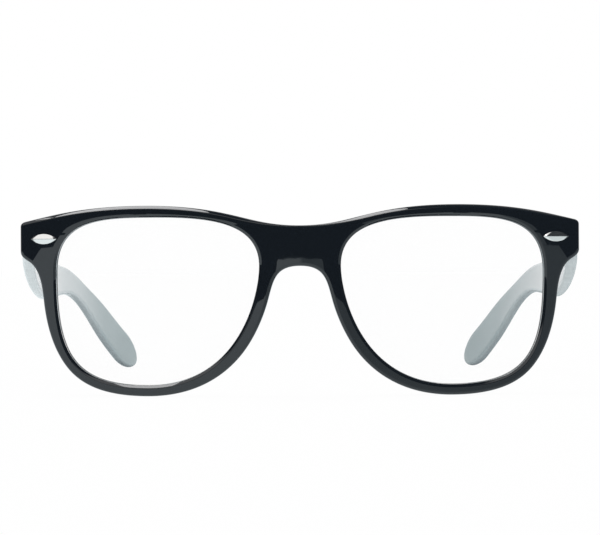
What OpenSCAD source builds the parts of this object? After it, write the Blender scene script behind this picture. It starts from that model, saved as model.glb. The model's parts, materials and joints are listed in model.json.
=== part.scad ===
// Moulded plastic eyeglass frame with clear lenses, standing open on its rims and temple tips.
// X runs across the face, Y runs back from the front and Z is up.
// Left and right are the wearer's, so the left side is at +X.

/* [Lens openings] */
// Width of one lens opening
eye_w = 52.6; // [50:0.1:55]
// Height of one lens opening
eye_h = 43; // [40:0.1:46]
// Gap between the two lens openings where they are nearest
eye_gap = 20.8; // [18:0.1:24]
// Height of the opening's nasal extreme above its lowest point
nasal_h = 30.5; // [27:0.1:33]
// Height of the opening's temporal extreme above its lowest point
temporal_h = 29; // [26:0.1:32]
// Distance of the opening's highest point from its nasal extreme
top_x = 28.1; // [25:0.1:31]
// Distance of the opening's lowest point from its nasal extreme
bottom_x = 28.8; // [26:0.1:32]

/* [Front] */
// Thickness of the rims
front_t = 4.2; // [3.6:0.1:5]
// Thickness of the bridge
bridge_t = 5.4; // [4.4:0.1:6.5]
// Radius of the front's wrap around the face
wrap_r = 240; // [200:5:300]
// Width of the brow above the opening
brow_rim = 3; // [2.4:0.1:4]
// Width of the rim beside the temple
temporal_rim = 3.7; // [3:0.1:4.2]
// Width of the rim at its lower outer corner
outer_rim = 2.6; // [2.3:0.1:3.6]
// Width of the rim at the bottom
bottom_rim = 2.7; // [2:0.1:3.4]
// Width of the rim beside the nose
nasal_rim = 3.6; // [2.6:0.1:4.4]
// Distance of the brow's highest point outwards from the opening's
brow_out = 2.1; // [0:0.1:5]
// Depth of the dip over the bridge, below the brow
bridge_dip = 5.3; // [4:0.1:7]
// Height of the bridge at the middle
bridge_h = 10.3; // [8:0.1:12]
// Depth of the nose pads behind the rims
pad_d = 3.2; // [2:0.1:4.5]
// Width of the bevel around the opening, on the front face
bevel_w = 0.65; // [0.4:0.05:0.9]
// Radius of the outer front edge
edge_r = 0.8; // [0.5:0.05:1]

/* [End pieces] */
// Reach of the end piece beyond the opening
end_reach = 9.5; // [9:0.1:11]
// Drop of the end piece's top corner below the brow
end_drop = 3.8; // [3:0.1:5.5]
// Height of the end piece
end_h = 9; // [8:0.1:10]
// Thickness of the end piece at its edge
end_t = 4.3; // [3.8:0.1:5]
// Radius of the end piece's top corner
end_r = 1.2; // [0.8:0.1:2]

/* [Temples] */
// Thickness of the temple at the hinge
temple_t = 3.2; // [3:0.1:3.8]
// Thickness of the temple at its tip
tip_t = 2.7; // [2.4:0.1:3.2]
// Height of the temple's arm at its tallest place
arm_h = 13; // [11:0.1:14]
// Height of the temple at the ear bend
waist_h = 7.8; // [7:0.1:9]
// Height of the temple's tip
tip_h = 11.2; // [9:0.1:12]
// Distance of the temple's end behind the mitre, along Y
temple_l = 132; // [125:0.5:138]
// Distance of the arm's tallest place behind the mitre
tall_l = 65; // [50:0.5:75]
// Distance of the ear bend behind the mitre
bend_l = 106.5; // [98:0.5:109]
// Half the length over which the temple bends down
bend_r = 12; // [8:0.5:16]
// Outward bow of the temple
bow = 5.9; // [4:0.1:7]
// Distance of the widest place of the bow behind the mitre
bow_l = 70; // [60:0.5:78]
// Inward reach of the tip from the hinge line
tip_in = 15.8; // [12:0.1:18]
// Fall of the arm's top edge, in degrees
arm_fall = 6.9; // [5:0.1:9]
// Lean of the tip's lower edge towards the head, in degrees
tip_lean = 15; // [8:0.5:22]

/* [Hinges] */
// Outer radius of a knuckle
knuckle_r = 1.5; // [1.3:0.05:1.7]
// Height of one of the five knuckles
knuckle_h = 1.18; // [1:0.02:1.3]
// Thickness of the leaf on the front
leaf_t = 0.8; // [0.6:0.05:1]
// Thickness of the leaf on the temple
arm_leaf_t = 0.9; // [0.6:0.05:1.1]
// Length of the leaf on the temple
arm_leaf_l = 13.5; // [11:0.5:15]
// Diameter of the hinge screw's shank
screw_d = 1.2; // [1:0.05:1.4]
// Diameter of the pins that hold the leaves
pin_d = 1.1; // [0.8:0.05:1.3]
// Length of the pins that hold the leaves
pin_l = 1.6; // [1.2:0.1:2]

/* [Inlays] */
// Length of the metal inlay on the end piece
inlay_l = 7; // [6:0.1:8]
// Height of the inlay
inlay_h = 2.6; // [2.2:0.1:3.2]
// Height of the inlay's ridge above the front face
ridge_h = 0.7; // [0.4:0.05:1]
// Distance of the inlay's middle from the edge of the end piece
inlay_in = 6.4; // [5.8:0.1:7]
// Diameter of the inlay's pins
inlay_pin_d = 1; // [0.8:0.05:1.2]
// Length of the inlay's pins
inlay_pin_l = 1.8; // [1.4:0.1:2.2]

/* [Lenses] */
// Thickness of the lens
lens_t = 2; // [1.6:0.1:2.4]
// Forward bulge of the lens at its middle
lens_bulge = 1.2; // [0.5:0.1:2]
// Depth of the lens groove
groove_d = 0.6; // [0.4:0.05:0.8]
// Width of the lens groove
groove_w = 1.1; // [0.8:0.05:1.3]

/* [Clearances] */
// Gap between the mitre and the temple's end
butt_gap = 0.15; // [0.1:0.05:0.3]
// Gap between neighbouring knuckles, and between a knuckle and a leaf
knuckle_gap = 0.08; // [0.05:0.01:0.15]
// Radial gap around the hinge screw
screw_gap = 0.03; // [0.02:0.01:0.06]
// Gap around pins, inlays and lenses in their seats
seat_gap = 0.03; // [0.02:0.01:0.08]

/* [Hidden] */

$fn = 48;

// The opening's four extremes: nasal, top, temporal and bottom, each as [x, z].
nasal_x = eye_gap / 2;
eye_low = bottom_rim;
eye_top = eye_low + eye_h;
EYE_AT = [
    [nasal_x, eye_low + nasal_h],
    [nasal_x + top_x, eye_top],
    [nasal_x + eye_w, eye_low + temporal_h],
    [nasal_x + bottom_x, eye_low],
];
// The outline's heading at each extreme, clockwise as seen from the front.
EYE_GO = [[0, 1], [1, 0], [0, -1], [-1, 0]];
// Handles before and after each extreme, as shares of the chord.
EYE_IN = [0.17, 0.45, 0.49, 0.53];
EYE_OUT = [0.38, 0.46, 0.55, 0.57];

// Places along the outline, counted in quarters of the opening from its nasal extreme.
at_top = 0.45;
at_brow = 1.05;
at_corner = 1.6;
at_edge = 1.66;
at_heel = 1.83;
at_sweep = 1.9;
at_rim = 2.12;
at_flank = 3.7;
at_arch = 4.1;
// Where a nose pad starts, is full, starts to fade and ends.
at_pad = [3.4, 3.72, 3.85, 4.06];
// Each stretch of the outline and the number of its steps.
STRETCHES = [
    [at_top, at_brow, 15], [at_brow, at_corner, 10], [at_corner, at_edge, 5],
    [at_edge, at_heel, 4], [at_heel, at_sweep, 5], [at_sweep, at_rim, 7],
    [at_rim, at_flank, 34], [at_flank, at_arch, 13], [at_arch, 4 + at_top, 5],
];

half_w = nasal_x + eye_w + end_reach;
brow_x = nasal_x + top_x + brow_out;
brow_z = eye_top + brow_rim;
bridge_z = brow_z - bridge_dip;
arch_z = bridge_z - bridge_h;
end_top = brow_z - end_drop;
end_low = end_top - end_h;
groove_in = front_t / 2;
back_r = 0.8;
mitre_r = 0.3;
// Height of the curve under the end piece's corner, and where the sweep to the rim starts.
heel_h = 1.4;
sweep_in = 2.2;
sweep_down = 1.3;

function face_y(x) = x * x / (2 * wrap_r);
mitre_y = face_y(half_w) + end_t;

// Hinge axis, and the faces that the leaves lie on.
hinge_z = (end_top + end_low) / 2;
temple_face = half_w - temple_t;
axis_x = temple_face - arm_leaf_t - 2 * knuckle_gap - knuckle_r;
axis_y = mitre_y + leaf_t + knuckle_gap + knuckle_r;
stack_h = 5 * knuckle_h + 4 * knuckle_gap;
stack_z = hinge_z - stack_h / 2;
leaf_out = temple_face - arm_leaf_t;
leaf_in = axis_x - knuckle_r - 0.6;
head_r = knuckle_r - 0.3;
head_h = 0.7;

// Temple line.
butt_y = mitre_y + butt_gap;
leaf_y = axis_y + arm_leaf_l;
tall_y = mitre_y + tall_l;
bow_y = mitre_y + bow_l;
bend_y = mitre_y + min(bend_l, 0.83 * temple_l);
tip_y = mitre_y + temple_l;
line_x = half_w - temple_t / 2;
bend_half = min(bend_r, 0.8 * (tip_y - tip_h / 2 - bend_y));
corner_r = 1.1;
// How sharply the temple turns inwards behind the widest place of its bow.
turn_in = 2.4;

function mix(a, b, t) = a + (b - a) * t;
function ease(t) = t <= 0 ? 0 : t >= 1 ? 1 : t * t * (3 - 2 * t);
function swell(s, a, b, c, d) = ease((s - a) / (b - a)) * ease((d - s) / (d - c));
function bezier(a, b, c, d, t) =
    pow(1 - t, 3) * a + 3 * pow(1 - t, 2) * t * b + 3 * (1 - t) * t * t * c + pow(t, 3) * d;
// A curve from a to d that leaves along u and arrives along v, with handles as shares of its chord.
function sweep(a, u, d, v, out, into, t) =
    bezier(a, a + u * norm(d - a) * out, d - v * norm(d - a) * into, d, t);
function left_of(v) = [-v.y, v.x] / norm(v);
function heading(angle) = [cos(angle), sin(angle)];

// The opening's outline at quarter s, as [x, z].
function eye(s) =
    let (i = floor(s) % 4, j = (i + 1) % 4)
    sweep(EYE_AT[i], EYE_GO[i], EYE_AT[j], EYE_GO[j], EYE_OUT[i], EYE_IN[j], s - floor(s));
function eye_normal(s) = left_of(eye(s + 0.002) - eye(s - 0.002));

// Width of the rim where the outline runs beside the opening.
RIM_WIDTHS = [temporal_rim, outer_rim, bottom_rim, mix(bottom_rim, nasal_rim, 0.8), nasal_rim];
function rim_width(s) =
    let (k = (s - 2) * 2, i = min(3, floor(k)))
    mix(RIM_WIDTHS[i], RIM_WIDTHS[i + 1], ease(k - i));
function rim_edge(s) = eye(s) + eye_normal(s) * rim_width(s);
function rim_heading(s) = let (v = rim_edge(s + 0.002) - rim_edge(s - 0.002)) v / norm(v);

corner_go = heading(-13);
sweep_go = heading(-148);
corner_at = [half_w - end_r, end_top];
edge_at = [half_w, end_top - 1.1 * end_r];
heel_at = [half_w, end_low + heel_h];
sweep_at = [half_w - sweep_in, end_low - sweep_down];

// The front's outer outline at quarter s, as [x, z]; past the arch it climbs the middle line.
function outer(s) =
    s < at_brow ? sweep([0, bridge_z], [1, 0], [brow_x, brow_z], [1, 0], 0.34, 0.57,
        (s - at_top) / (at_brow - at_top)) :
    s < at_corner ? sweep([brow_x, brow_z], [1, 0], corner_at, corner_go, 0.45, 0.3,
        (s - at_brow) / (at_corner - at_brow)) :
    s < at_edge ? sweep(corner_at, corner_go, edge_at, [0, -1], 0.4, 0.4,
        (s - at_corner) / (at_edge - at_corner)) :
    s < at_heel ? mix(edge_at, heel_at, (s - at_edge) / (at_heel - at_edge)) :
    s < at_sweep ? sweep(heel_at, [0, -1], sweep_at, sweep_go, 0.4, 0.4,
        (s - at_heel) / (at_sweep - at_heel)) :
    s < at_rim ? sweep(sweep_at, sweep_go, rim_edge(at_rim), rim_heading(at_rim), 0.3, 0.4,
        (s - at_sweep) / (at_rim - at_sweep)) :
    s < at_flank ? rim_edge(s) :
    s < at_arch ? sweep(rim_edge(at_flank), rim_heading(at_flank), [0, arch_z], [-1, 0], 0.45, 0.52,
        (s - at_flank) / (at_arch - at_flank)) :
    [0, mix(arch_z, bridge_z, (s - at_arch) / (4 + at_top - at_arch))];
function outer_normal(s) =
    s < at_top + 0.001 ? [0, 1] :
    s > at_arch + 0.001 ? [0, 0] :
    s > at_arch - 0.001 ? [0, -1] :
    left_of(outer(s + 0.001) - outer(s - 0.001));

function bridge_share(s) = s > 3 ? ease((s - 3.8) / 0.3) : ease((0.8 - s) / 0.35);
function pad_share(s) = swell(s, at_pad[0], at_pad[1], at_pad[2], at_pad[3]);
function end_share(s) = swell(s, 1.3, at_corner, at_sweep, at_rim);

// The back face at point p of quarter s, where f is 0 beside the opening and 1 at the outer edge.
function back_y(p, s, f) =
    let (plain = face_y(p.x) + mix(front_t, bridge_t, bridge_share(s)))
    plain + pad_d * pad_share(s) * ease(f) + (mitre_y - plain) * end_share(s) * ease(f / 0.18);
function at(p, y) = [p.x, y, p.y];

// One closed cross-section of the front at quarter s, from the opening round by the face.
function front_section(s) =
    let (
        e = eye(s), n = eye_normal(s), o = outer(s), m = outer_normal(s),
        rb = mix(back_r, mitre_r, end_share(s)),
        groove_y = face_y(e.x) + groove_in,
        a = e + n * bevel_w, b = o - m * edge_r,
        c = e + n * back_r / 2, d = o - m * rb
    )
    [
        at(c, back_y(c, s, 0)),
        at(e, back_y(e, s, 0) - back_r / 2),
        at(e, groove_y + groove_w / 2),
        at(e + n * groove_d, groove_y),
        at(e, groove_y - groove_w / 2),
        at(e, face_y(e.x) + bevel_w),
        for (f = [0, 0.34, 0.67, 1]) let (p = mix(a, b, f)) at(p, face_y(p.x)),
        for (k = [30, 60, 90]) let (p = b + m * edge_r * sin(k)) at(p, face_y(p.x) + edge_r * (1 - cos(k))),
        for (k = [0, 45, 90]) let (p = d + m * rb * cos(k)) at(p, back_y(p, s, 1) - rb * (1 - sin(k))),
        for (f = [0.6, 0.2]) let (p = mix(c, d, f)) at(p, back_y(p, s, f)),
    ];
STATIONS = [for (t = STRETCHES) for (i = [0 : t[2] - 1]) mix(t[0], t[1], i / t[2])];

// A surface through closed rings of points; a loop joins the last ring to the first.
module skin(rings, loop = false) {
    n = len(rings[0]);
    m = len(rings);
    middle = function (ring) [for (k = [0 : 2]) [for (p = ring) p[k]] * [for (p = ring) 1 / n]];
    points = [each each rings, middle(rings[0]), middle(rings[m - 1])];
    sides = [
        for (i = [0 : loop ? m - 1 : m - 2]) for (j = [0 : n - 1])
        let (a = i * n + j, b = i * n + (j + 1) % n, c = (i + 1) % m * n + j, d = (i + 1) % m * n + (j + 1) % n)
        each [[a, b, c], [b, d, c]]
    ];
    caps = [for (j = [0 : n - 1]) each [
        [m * n, (j + 1) % n, j],
        [m * n + 1, (m - 1) * n + j, (m - 1) * n + (j + 1) % n],
    ]];
    polyhedron(loop ? [each each rings] : points, loop ? sides : concat(sides, caps));
}

// Everything is moved forward by half the depth, so that the part is centred over its origin.
module on_frame(side = 1) {
    translate([0, -depth / 2, 0]) scale_side(side) children();
}
module scale_side(side) {
    if (side > 0) children();
    else mirror([1, 0, 0]) children();
}

// Places of the inlay and of the pins, as [x, z].
inlay_at = [half_w - inlay_in, hinge_z];
inlay_turn = atan(inlay_at.x / wrap_r);
inlay_pins = [-inlay_l * 0.22, inlay_l * 0.22];
leaf_pins = [-stack_h * 0.28, stack_h * 0.28];
leaf_pin_x = (leaf_in + leaf_out) / 2;
arm_pins = [arm_leaf_l * 0.42, arm_leaf_l * 0.8];

module at_inlay() {
    translate([inlay_at.x, face_y(inlay_at.x), inlay_at.y]) rotate([90, 0, inlay_turn]) children();
}
module inlay_outline(grow = 0) {
    r = (pow(inlay_l / 2, 2) + pow(inlay_h / 2, 2)) / inlay_h;
    intersection_for (s = [-1, 1]) translate([0, s * (r - inlay_h / 2)]) circle(r + grow, $fn = 160);
}
module leaf_pin_set(extra) {
    for (z = leaf_pins) translate([leaf_pin_x, mitre_y + 0.1, hinge_z + z])
        rotate([90, 0, 0]) cylinder(d = pin_d + 2 * extra, h = pin_l + 0.1 + extra);
}
module inlay_pin_set(extra) {
    at_inlay() for (x = inlay_pins) translate([x, 0, -inlay_pin_l - extra])
        cylinder(d = inlay_pin_d + 2 * extra, h = inlay_pin_l + extra + 0.1);
}

module front() {
    color("#14171b") on_frame() difference() {
        for (side = [1, -1]) scale_side(side)
            skin([for (s = STATIONS) front_section(s)], loop = true);
        for (side = [1, -1]) scale_side(side) {
            leaf_pin_set(seat_gap);
            inlay_pin_set(seat_gap);
        }
    }
}

// The lens follows every second section of the front, with its bevel in the groove.
function lens_ring(q, y, grow) = [
    for (i = [0 : 2 : len(STATIONS) - 1])
    let (
        s = STATIONS[i], c = [nasal_x + eye_w / 2, eye_low + eye_h / 2],
        p = mix(c, eye(s), q)
    )
    at(p + eye_normal(s) * grow, face_y(p.x) + groove_in + y - lens_bulge * (1 - q * q))
];
module lens(side) {
    tip_w = groove_w / 2 - seat_gap;
    color([0.86, 0.93, 0.95, 0.35]) on_frame(side) skin([
        lens_ring(0.35, lens_t / 2, -seat_gap),
        lens_ring(0.7, lens_t / 2, -seat_gap),
        lens_ring(1, lens_t / 2, -seat_gap),
        lens_ring(1, tip_w, -seat_gap),
        lens_ring(1, 0, groove_d - 2 * seat_gap),
        lens_ring(1, -tip_w, -seat_gap),
        lens_ring(1, -lens_t / 2, -seat_gap),
        lens_ring(0.7, -lens_t / 2, -seat_gap),
        lens_ring(0.35, -lens_t / 2, -seat_gap),
    ]);
}
module lens_left() { lens(1); }
module lens_right() { lens(-1); }

module inlay(side) {
    color("silver") on_frame(side) {
        at_inlay() hull() {
            linear_extrude(0.25) inlay_outline();
            translate([0, 0, ridge_h - 0.05]) cube([inlay_l * 0.8, 0.1, 0.1], center = true);
        }
        inlay_pin_set(0);
    }
}
module inlay_left() { inlay(1); }
module inlay_right() { inlay(-1); }

module knuckles(which) {
    for (k = which) translate([axis_x, axis_y, stack_z + k * (knuckle_h + knuckle_gap)])
        linear_extrude(knuckle_h) children();
}
module screw_bore() {
    translate([axis_x, axis_y, stack_z - 1]) cylinder(d = screw_d + 2 * screw_gap, h = stack_h + 2);
}

module front_leaf(side) {
    color("#b9bcbf") on_frame(side) difference() {
        union() {
            translate([leaf_in, mitre_y, stack_z]) cube([leaf_out - leaf_in, leaf_t, stack_h]);
            knuckles([0, 2, 4]) {
                circle(knuckle_r);
                translate([-knuckle_r, mitre_y - axis_y + leaf_t / 2]) square([2 * knuckle_r, axis_y - mitre_y - leaf_t / 2]);
            }
            leaf_pin_set(0);
        }
        screw_bore();
    }
}
module front_leaf_left() { front_leaf(1); }
module front_leaf_right() { front_leaf(-1); }

// The leaf on the temple follows the arm's inner face outwards and its middle line down.
leaf_out_turn = atan((line_plan(leaf_y) - line_plan(axis_y)) / arm_leaf_l);
leaf_fall = atan((hinge_z - arm_line(leaf_y)) / arm_leaf_l);
module along_arm() {
    translate([temple_face + line_plan(axis_y) - line_x - seat_gap, axis_y, hinge_z])
        rotate([0, 0, -leaf_out_turn]) rotate([-leaf_fall, 0, 0]) children();
}
module arm_pin_set(extra) {
    along_arm() for (y = arm_pins) translate([-0.1, y, 0])
        rotate([0, 90, 0]) cylinder(d = pin_d + 2 * extra, h = pin_l + 0.1 + extra);
}
module temple_leaf(side) {
    color("#b9bcbf") on_frame(side) difference() {
        union() {
            knuckles([1, 3]) {
                circle(knuckle_r);
                translate([0, -knuckle_r]) square([temple_face - axis_x, 2 * knuckle_r]);
            }
            translate([temple_face - arm_leaf_t, axis_y - knuckle_r, stack_z + knuckle_gap])
                cube([arm_leaf_t, 2 * knuckle_r, stack_h - 2 * knuckle_gap]);
            along_arm() translate([-arm_leaf_t, 0, -stack_h * 0.42]) cube([arm_leaf_t, arm_leaf_l, stack_h * 0.84]);
            arm_pin_set(0);
        }
        screw_bore();
    }
}
module temple_leaf_left() { temple_leaf(1); }
module temple_leaf_right() { temple_leaf(-1); }

module hinge_screw(side) {
    top = stack_z + stack_h;
    color("silver") on_frame(side) translate([axis_x, axis_y, 0]) difference() {
        union() {
            translate([0, 0, stack_z - 0.3]) cylinder(d = screw_d, h = stack_h + 0.4);
            translate([0, 0, top]) cylinder(r = head_r, h = head_h);
        }
        translate([-head_r - 1, -0.15, top + head_h - 0.35]) cube([2 * head_r + 2, 0.3, 1]);
    }
}
module hinge_screw_left() { hinge_screw(1); }
module hinge_screw_right() { hinge_screw(-1); }

// Middle line of the temple at depth y: its x, and its z where low is the height of its end.
function line_plan(y) =
    y < bow_y ? line_x + bow * (1 - pow((bow_y - y) / (bow_y - butt_y), 2)) :
    line_x + bow - (bow + tip_in) * pow((y - bow_y) / (tip_y - bow_y), turn_in);
function arm_height(y) =
    y < tall_y ? mix(end_h, arm_h, ease((y - butt_y) / (tall_y - butt_y))) :
    y < bend_y ? mix(arm_h, waist_h, ease((y - tall_y) / (bend_y - tall_y))) :
    mix(waist_h, tip_h, ease((y - bend_y) / (tip_y - tip_h - bend_y)));
function arm_line(y) = end_top - tan(arm_fall) * (y - butt_y) - arm_height(min(y, bend_y)) / 2;
// How far the temple has turned down past its bend.
function turned(y) =
    y < bend_y - bend_half ? 0 : y > bend_y + bend_half ? y - bend_y : pow(y - bend_y + bend_half, 2) / (4 * bend_half);
function line_height(y, low) = arm_line(y) + (low - arm_line(tip_y)) * turned(y) / turned(tip_y);
function arm_thickness(y) = mix(temple_t, tip_t, ease((y - leaf_y) / (bend_y - leaf_y)));
function arm_lean(y) = tip_lean * ease((y - bow_y) / (tip_y - tip_h - bow_y));

// A ring of the temple at depth y, shrunk by share q towards its end.
function temple_ring(y, low, q) =
    let (
        e = 0.05, c = [line_plan(y), y, line_height(y, low)],
        d = [line_plan(y + e), y + e, line_height(y + e, low)] - c,
        u = d / norm(d),
        start = y < butt_y + 0.01,
        side = start ? [1, 0, 0] : [u.y, -u.x, 0] / norm([u.y, -u.x, 0]),
        rise = start ? [0, 0, 1] : cross(side, u),
        across = side * cos(arm_lean(y)) - rise * sin(arm_lean(y)),
        up = rise * cos(arm_lean(y)) + side * sin(arm_lean(y)),
        h = arm_height(y) / 2 * q, t = arm_thickness(y) / 2 * mix(1, q, 0.6),
        r = min(corner_r, 0.95 * min(h, t))
    )
    [for (k = [0 : 3]) for (a = [0, 30, 60, 90])
        let (
            g = 90 * k + a,
            w = (k == 0 || k == 3 ? 1 : -1) * (t - r) + r * cos(g),
            v = (k < 2 ? 1 : -1) * (h - r) + r * sin(g)
        )
        c + across * w + up * v];
TIP_ANGLES = [0, 18, 36, 54, 68, 80];
function temple_rings(low) = [
    for (i = [0 : 11]) temple_ring(mix(butt_y, bow_y, i / 12), low, 1),
    for (i = [0 : 5]) temple_ring(mix(bow_y, bend_y - bend_half, i / 6), low, 1),
    for (i = [0 : 11]) temple_ring(mix(bend_y - bend_half, bend_y + bend_half, i / 12), low, 1),
    for (i = [0 : 4]) temple_ring(mix(bend_y + bend_half, tip_y - tip_h / 2, i / 5), low, 1),
    for (a = TIP_ANGLES) temple_ring(tip_y - tip_h / 2 * (1 - sin(a)), low, cos(a)),
];
function lowest(rings) = min([for (ring = rings) for (p = ring) p.z]);
function settle(low, n) = n == 0 ? low : settle(low - lowest(temple_rings(low)), n - 1);
// The tip's height is such that the temple just meets the table.
tip_z = settle(4, 5);
TEMPLE = temple_rings(tip_z);
depth = max([for (ring = TEMPLE) for (p = ring) p.y]);

module temple(side) {
    color("#d9dee1") on_frame(side) difference() {
        skin(TEMPLE);
        arm_pin_set(seat_gap);
    }
}
module temple_left() { temple(1); }
module temple_right() { temple(-1); }

front();
lens_left();
lens_right();
inlay_left();
inlay_right();
front_leaf_left();
front_leaf_right();
hinge_screw_left();
hinge_screw_right();
temple_leaf_left();
temple_leaf_right();
temple_left();
temple_right();
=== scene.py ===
"""Moulded eyeglass frame with clear lenses, dressed around its packed construction model."""

import json
import math

import bmesh
import bpy
import numpy as np
from bpy.props import FloatProperty, FloatVectorProperty, IntProperty, PointerProperty
from mathutils import Matrix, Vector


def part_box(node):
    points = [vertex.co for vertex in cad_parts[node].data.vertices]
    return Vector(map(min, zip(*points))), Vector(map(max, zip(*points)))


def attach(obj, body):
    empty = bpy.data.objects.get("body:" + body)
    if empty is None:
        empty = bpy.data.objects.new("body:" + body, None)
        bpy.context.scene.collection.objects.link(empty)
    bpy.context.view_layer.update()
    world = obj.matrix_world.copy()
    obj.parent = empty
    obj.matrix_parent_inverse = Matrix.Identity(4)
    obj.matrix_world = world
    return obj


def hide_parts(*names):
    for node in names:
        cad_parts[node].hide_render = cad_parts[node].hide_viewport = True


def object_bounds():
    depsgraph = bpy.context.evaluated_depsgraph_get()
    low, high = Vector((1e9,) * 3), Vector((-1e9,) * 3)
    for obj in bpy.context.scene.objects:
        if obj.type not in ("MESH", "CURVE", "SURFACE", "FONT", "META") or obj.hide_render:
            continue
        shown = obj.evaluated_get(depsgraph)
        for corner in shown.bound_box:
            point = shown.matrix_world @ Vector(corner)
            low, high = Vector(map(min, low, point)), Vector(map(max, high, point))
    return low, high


bl_info = {
    "name": "Eyeglass Frame",
    "version": (1, 0, 0),
    "blender": (4, 5, 0),
    "location": "View3D > Sidebar > Eyeglasses",
    "description": "Builds a moulded eyeglass frame, its lenses, temples, hinges and studio",
    "category": "Add Mesh",
}

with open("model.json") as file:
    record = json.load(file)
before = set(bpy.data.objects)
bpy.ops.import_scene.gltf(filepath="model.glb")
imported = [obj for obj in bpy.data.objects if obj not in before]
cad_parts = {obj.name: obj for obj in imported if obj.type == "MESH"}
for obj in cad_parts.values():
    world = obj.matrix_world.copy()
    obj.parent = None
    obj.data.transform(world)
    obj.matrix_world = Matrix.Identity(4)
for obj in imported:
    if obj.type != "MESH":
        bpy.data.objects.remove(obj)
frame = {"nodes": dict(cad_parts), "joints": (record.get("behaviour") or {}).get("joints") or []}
cad_low, cad_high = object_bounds()
front_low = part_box("front")[0]
hinge_joint = next(j for j in frame["joints"] if j["name"] == "left_fold")

MM = 0.001
SIDES = {"left": 1, "right": -1}
WHITE = (1, 1, 1, 1)

# The table's reach behind the object and to its sides, and its colour in plain light.
TABLE_FAR, TABLE_WIDE = 12.0, 9.0
TABLE_PALE = (0.85, 0.85, 0.86, 1)
# The table's colour in reflections: painted light on the camera's left and painted shade on its right, and
# where it turns from one to the other.
TABLE_PAINTED_LIT, TABLE_PAINTED_SHADE = (0.88, 0.97, 1, 1), (0.38, 0.44, 0.46, 1)
TABLE_SHADE_TURN = (-20 * MM, 50 * MM)
# How far the table shows its bright side to the camera and in reflections.
TABLE_GLOW = 0.97
# The room in reflections: dim in front, white behind the object and in a window above the camera's left.
ROOM_DIM = (0.03, 0.035, 0.04, 1)
ROOM_BEHIND = (0.3, 0.6)
WINDOW_WAY, WINDOW_EDGE = (-0.4, -0.5, 0.77), (0.74, 0.8)
# How much stronger the even light is from the camera's right than from the middle.
ROOM_SLANT = 0.45
# The light above shines from here towards the origin, and spans this angle.
CEILING_AT, CEILING_SPAN = (-0.25, 0.2, 1), math.radians(32)


def length(name, description, default):
    """A size in metres that shows as a length."""
    return FloatProperty(name=name, description=description, default=default, unit="LENGTH", precision=5)


def angle(name, description, degrees):
    """An angle that shows in degrees."""
    return FloatProperty(name=name, description=description, default=math.radians(degrees), subtype="ANGLE")


def colour(name, description, default):
    """A colour in linear values."""
    return FloatVectorProperty(name=name, description=description, default=default, subtype="COLOR", size=3,
                               min=0, max=1)


class FrontSizes(bpy.types.PropertyGroup):
    """Sizes of the front, its openings, bridge and end pieces."""

    eye_w: length("Opening width", "Width of one lens opening", 52.6 * MM)
    eye_h: length("Opening height", "Height of one lens opening", 43 * MM)
    eye_gap: length("Opening gap", "Gap between the openings where they are nearest", 20.8 * MM)
    nasal_h: length("Nasal height", "Height of the nasal extreme above the opening's lowest point", 30.5 * MM)
    temporal_h: length("Temporal height", "Height of the temporal extreme above the lowest point", 29 * MM)
    top_x: length("Highest point", "Distance of the highest point from the nasal extreme", 28.1 * MM)
    bottom_x: length("Lowest point", "Distance of the lowest point from the nasal extreme", 28.8 * MM)
    wrap_r: length("Wrap radius", "Radius of the front's wrap around the face", 240 * MM)
    rim_t: length("Rim thickness", "Thickness of the rims", 4.2 * MM)
    bridge_t: length("Bridge thickness", "Thickness of the bridge", 5.4 * MM)
    brow_rim: length("Brow width", "Width of the brow above the opening", 3 * MM)
    temporal_rim: length("Temporal rim", "Width of the rim beside the temple", 3.7 * MM)
    outer_rim: length("Outer rim", "Width of the rim at its lower outer corner", 2.6 * MM)
    bottom_rim: length("Bottom rim", "Width of the rim at the bottom", 2.7 * MM)
    nasal_rim: length("Nasal rim", "Width of the rim beside the nose", 3.6 * MM)
    brow_out: length("Brow peak", "Distance of the brow's peak outwards from the opening's", 2.1 * MM)
    bridge_dip: length("Bridge dip", "Depth of the dip over the bridge, below the brow", 5.3 * MM)
    bridge_h: length("Bridge height", "Height of the bridge at the middle", 10.3 * MM)
    pad_d: length("Pad depth", "Depth of the nose pads behind the rims", 3.2 * MM)
    bevel_w: length("Bevel", "Width of the bevel around the opening", 0.65 * MM)
    edge_r: length("Front edge", "Radius of the outer front edge", 0.8 * MM)
    bridge_r: length("Bridge edge", "Radius of the front edge on top of the bridge", 0.3 * MM)
    brow_d: length("Brow slope depth", "Depth of the slope along the top edge of the brow", 1.1 * MM)
    brow_s: length("Brow slope height", "Height of the slope along the top edge of the brow", 0.85 * MM)
    end_drop: length("End drop", "Drop of the end piece's top corner below the brow", 3.8 * MM)
    end_h: length("End height", "Height of the end piece", 9 * MM)
    end_t: length("End thickness", "Thickness of the end piece at its edge", 4.3 * MM)
    end_r: length("End corner", "Radius of the end piece's top corner", 1.2 * MM)
    end_reach: length("End reach", "Reach of the end piece beyond the opening", 9.5 * MM)
    groove_d: length("Groove depth", "Depth of the lens groove", 0.6 * MM)
    groove_w: length("Groove width", "Width of the lens groove", 1.1 * MM)
    lens_t: length("Lens thickness", "Thickness of the lens", 2 * MM)
    lens_bulge: length("Lens bulge", "Forward bulge of the lens at its middle", 1.2 * MM)
    seat_gap: length("Seat gap", "Gap between the lens and its groove", 0.03 * MM)


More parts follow.
